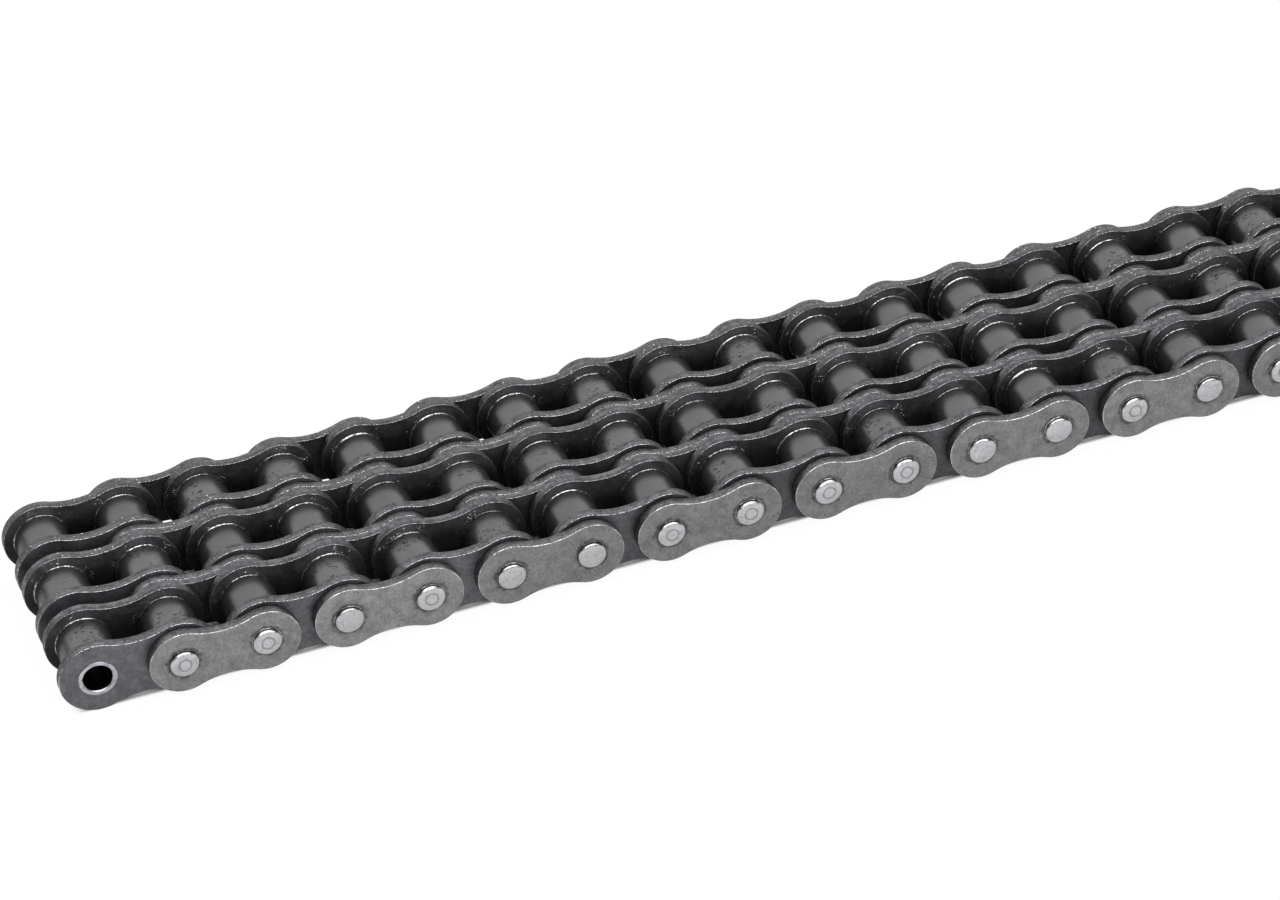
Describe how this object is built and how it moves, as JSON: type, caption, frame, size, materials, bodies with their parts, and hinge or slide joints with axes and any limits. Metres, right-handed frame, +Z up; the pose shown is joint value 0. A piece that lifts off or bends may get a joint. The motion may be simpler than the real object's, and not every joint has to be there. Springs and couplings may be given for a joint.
{
  "type": "triplex roller chain",
  "caption": "Straight stretch of three-strand steel roller chain with riveted pins and open bushes at both ends, to drive or be driven by sprockets.",
  "frame": {"origin": "under the middle of the chain, on the surface that it lies on", "axes": "+X along the chain, +Y along the pins away from the picture's camera, +Z up"},
  "size_m": [0.2276, 0.0438, 0.0117],
  "materials": {
    "inner_plate": "oiled satin, dark",
    "outer_plate": "oiled satin, faintly brushed",
    "centre_plate": "oiled satin, dark",
    "pin": "bright, spun ends",
    "bush": "bright, turned",
    "roller": "oiled, dark, smooth"
  },
  "bodies": {
    "inner_link_1": {"inner_plates_1": "inner_plate", "bushes_1": "bush"},
    "inner_link_2": {"inner_plates_2": "inner_plate", "bushes_2": "bush"},
    "inner_link_3": {"inner_plates_3": "inner_plate", "bushes_3": "bush"},
    "inner_link_4": {"inner_plates_4": "inner_plate", "bushes_4": "bush"},
    "inner_link_5": {"inner_plates_5": "inner_plate", "bushes_5": "bush"},
    "inner_link_6": {"inner_plates_6": "inner_plate", "bushes_6": "bush"},
    "inner_link_7": {"inner_plates_7": "inner_plate", "bushes_7": "bush"},
    "inner_link_8": {"inner_plates_8": "inner_plate", "bushes_8": "bush"},
    "inner_link_9": {"inner_plates_9": "inner_plate", "bushes_9": "bush"},
    "pin_link_1": {"outer_plates_1": "outer_plate", "centre_plates_1": "centre_plate", "pins_1": "pin"},
    "pin_link_2": {"outer_plates_2": "outer_plate", "centre_plates_2": "centre_plate", "pins_2": "pin"},
    "pin_link_3": {"outer_plates_3": "outer_plate", "centre_plates_3": "centre_plate", "pins_3": "pin"},
    "pin_link_4": {"outer_plates_4": "outer_plate", "centre_plates_4": "centre_plate", "pins_4": "pin"},
    "pin_link_5": {"outer_plates_5": "outer_plate", "centre_plates_5": "centre_plate", "pins_5": "pin"},
    "pin_link_6": {"outer_plates_6": "outer_plate", "centre_plates_6": "centre_plate", "pins_6": "pin"},
    "pin_link_7": {"outer_plates_7": "outer_plate", "centre_plates_7": "centre_plate", "pins_7": "pin"},
    "pin_link_8": {"outer_plates_8": "outer_plate", "centre_plates_8": "centre_plate", "pins_8": "pin"},
    "roller_row_01": {"rollers_01": "roller"},
    "roller_row_02": {"rollers_02": "roller"},
    "roller_row_03": {"rollers_03": "roller"},
    "roller_row_04": {"rollers_04": "roller"},
    "roller_row_05": {"rollers_05": "roller"},
    "roller_row_06": {"rollers_06": "roller"},
    "roller_row_07": {"rollers_07": "roller"},
    "roller_row_08": {"rollers_08": "roller"},
    "roller_row_09": {"rollers_09": "roller"},
    "roller_row_10": {"rollers_10": "roller"},
    "roller_row_11": {"rollers_11": "roller"},
    "roller_row_12": {"rollers_12": "roller"},
    "roller_row_13": {"rollers_13": "roller"},
    "roller_row_14": {"rollers_14": "roller"},
    "roller_row_15": {"rollers_15": "roller"},
    "roller_row_16": {"rollers_16": "roller"},
    "roller_row_17": {"rollers_17": "roller"},
    "roller_row_18": {"rollers_18": "roller"}
  },
  "joints": [
    {"name": "hinge_10", "type": "hinge", "parent": "inner_link_5", "child": "pin_link_5", "pos_m": [0.00635, 0, 0.00585], "axis": [0, 1, 0], "range_deg": [-90, 90]},
    {"name": "hinge_11", "type": "hinge", "parent": "pin_link_5", "child": "inner_link_6", "pos_m": [0.01905, 0, 0.00585], "axis": [0, -1, 0], "range_deg": [-90, 90]},
    {"name": "hinge_12", "type": "hinge", "parent": "inner_link_6", "child": "pin_link_6", "pos_m": [0.03175, 0, 0.00585], "axis": [0, 1, 0], "range_deg": [-90, 90]},
    {"name": "hinge_13", "type": "hinge", "parent": "pin_link_6", "child": "inner_link_7", "pos_m": [0.04445, 0, 0.00585], "axis": [0, -1, 0], "range_deg": [-90, 90]},
    {"name": "hinge_14", "type": "hinge", "parent": "inner_link_7", "child": "pin_link_7", "pos_m": [0.05715, 0, 0.00585], "axis": [0, 1, 0], "range_deg": [-90, 90]},
    {"name": "hinge_15", "type": "hinge", "parent": "pin_link_7", "child": "inner_link_8", "pos_m": [0.06985, 0, 0.00585], "axis": [0, -1, 0], "range_deg": [-90, 90]},
    {"name": "hinge_16", "type": "hinge", "parent": "inner_link_8", "child": "pin_link_8", "pos_m": [0.08255, 0, 0.00585], "axis": [0, 1, 0], "range_deg": [-90, 90]},
    {"name": "hinge_17", "type": "hinge", "parent": "pin_link_8", "child": "inner_link_9", "pos_m": [0.09525, 0, 0.00585], "axis": [0, -1, 0], "range_deg": [-90, 90]},
    {"name": "hinge_09", "type": "hinge", "parent": "inner_link_5", "child": "pin_link_4", "pos_m": [-0.00635, 0, 0.00585], "axis": [0, -1, 0], "range_deg": [-90, 90]},
    {"name": "hinge_08", "type": "hinge", "parent": "pin_link_4", "child": "inner_link_4", "pos_m": [-0.01905, 0, 0.00585], "axis": [0, 1, 0], "range_deg": [-90, 90]},
    {"name": "hinge_07", "type": "hinge", "parent": "inner_link_4", "child": "pin_link_3", "pos_m": [-0.03175, 0, 0.00585], "axis": [0, -1, 0], "range_deg": [-90, 90]},
    {"name": "hinge_06", "type": "hinge", "parent": "pin_link_3", "child": "inner_link_3", "pos_m": [-0.04445, 0, 0.00585], "axis": [0, 1, 0], "range_deg": [-90, 90]},
    {"name": "hinge_05", "type": "hinge", "parent": "inner_link_3", "child": "pin_link_2", "pos_m": [-0.05715, 0, 0.00585], "axis": [0, -1, 0], "range_deg": [-90, 90]},
    {"name": "hinge_04", "type": "hinge", "parent": "pin_link_2", "child": "inner_link_2", "pos_m": [-0.06985, 0, 0.00585], "axis": [0, 1, 0], "range_deg": [-90, 90]},
    {"name": "hinge_03", "type": "hinge", "parent": "inner_link_2", "child": "pin_link_1", "pos_m": [-0.08255, 0, 0.00585], "axis": [0, -1, 0], "range_deg": [-90, 90]},
    {"name": "hinge_02", "type": "hinge", "parent": "pin_link_1", "child": "inner_link_1", "pos_m": [-0.09525, 0, 0.00585], "axis": [0, 1, 0], "range_deg": [-90, 90]},
    {"name": "roller_01_spin", "type": "hinge", "parent": "inner_link_1", "child": "roller_row_01", "pos_m": [-0.10795, 0, 0.00585], "axis": [0, 1, 0], "continuous": true},
    {"name": "roller_02_spin", "type": "hinge", "parent": "inner_link_1", "child": "roller_row_02", "pos_m": [-0.09525, 0, 0.00585], "axis": [0, 1, 0], "continuous": true},
    {"name": "roller_03_spin", "type": "hinge", "parent": "inner_link_2", "child": "roller_row_03", "pos_m": [-0.08255, 0, 0.00585], "axis": [0, 1, 0], "continuous": true},
    {"name": "roller_04_spin", "type": "hinge", "parent": "inner_link_2", "child": "roller_row_04", "pos_m": [-0.06985, 0, 0.00585], "axis": [0, 1, 0], "continuous": true},
    {"name": "roller_05_spin", "type": "hinge", "parent": "inner_link_3", "child": "roller_row_05", "pos_m": [-0.05715, 0, 0.00585], "axis": [0, 1, 0], "continuous": true},
    {"name": "roller_06_spin", "type": "hinge", "parent": "inner_link_3", "child": "roller_row_06", "pos_m": [-0.04445, 0, 0.00585], "axis": [0, 1, 0], "continuous": true},
    {"name": "roller_07_spin", "type": "hinge", "parent": "inner_link_4", "child": "roller_row_07", "pos_m": [-0.03175, 0, 0.00585], "axis": [0, 1, 0], "continuous": true},
    {"name": "roller_08_spin", "type": "hinge", "parent": "inner_link_4", "child": "roller_row_08", "pos_m": [-0.01905, 0, 0.00585], "axis": [0, 1, 0], "continuous": true},
    {"name": "roller_09_spin", "type": "hinge", "parent": "inner_link_5", "child": "roller_row_09", "pos_m": [-0.00635, 0, 0.00585], "axis": [0, 1, 0], "continuous": true},
    {"name": "roller_10_spin", "type": "hinge", "parent": "inner_link_5", "child": "roller_row_10", "pos_m": [0.00635, 0, 0.00585], "axis": [0, 1, 0], "continuous": true},
    {"name": "roller_11_spin", "type": "hinge", "parent": "inner_link_6", "child": "roller_row_11", "pos_m": [0.01905, 0, 0.00585], "axis": [0, 1, 0], "continuous": true},
    {"name": "roller_12_spin", "type": "hinge", "parent": "inner_link_6", "child": "roller_row_12", "pos_m": [0.03175, 0, 0.00585], "axis": [0, 1, 0], "continuous": true},
    {"name": "roller_13_spin", "type": "hinge", "parent": "inner_link_7", "child": "roller_row_13", "pos_m": [0.04445, 0, 0.00585], "axis": [0, 1, 0], "continuous": true},
    {"name": "roller_14_spin", "type": "hinge", "parent": "inner_link_7", "child": "roller_row_14", "pos_m": [0.05715, 0, 0.00585], "axis": [0, 1, 0], "continuous": true},
    {"name": "roller_15_spin", "type": "hinge", "parent": "inner_link_8", "child": "roller_row_15", "pos_m": [0.06985, 0, 0.00585], "axis": [0, 1, 0], "continuous": true},
    {"name": "roller_16_spin", "type": "hinge", "parent": "inner_link_8", "child": "roller_row_16", "pos_m": [0.08255, 0, 0.00585], "axis": [0, 1, 0], "continuous": true},
    {"name": "roller_17_spin", "type": "hinge", "parent": "inner_link_9", "child": "roller_row_17", "pos_m": [0.09525, 0, 0.00585], "axis": [0, 1, 0], "continuous": true},
    {"name": "roller_18_spin", "type": "hinge", "parent": "inner_link_9", "child": "roller_row_18", "pos_m": [0.10795, 0, 0.00585], "axis": [0, 1, 0], "continuous": true}
  ]
}
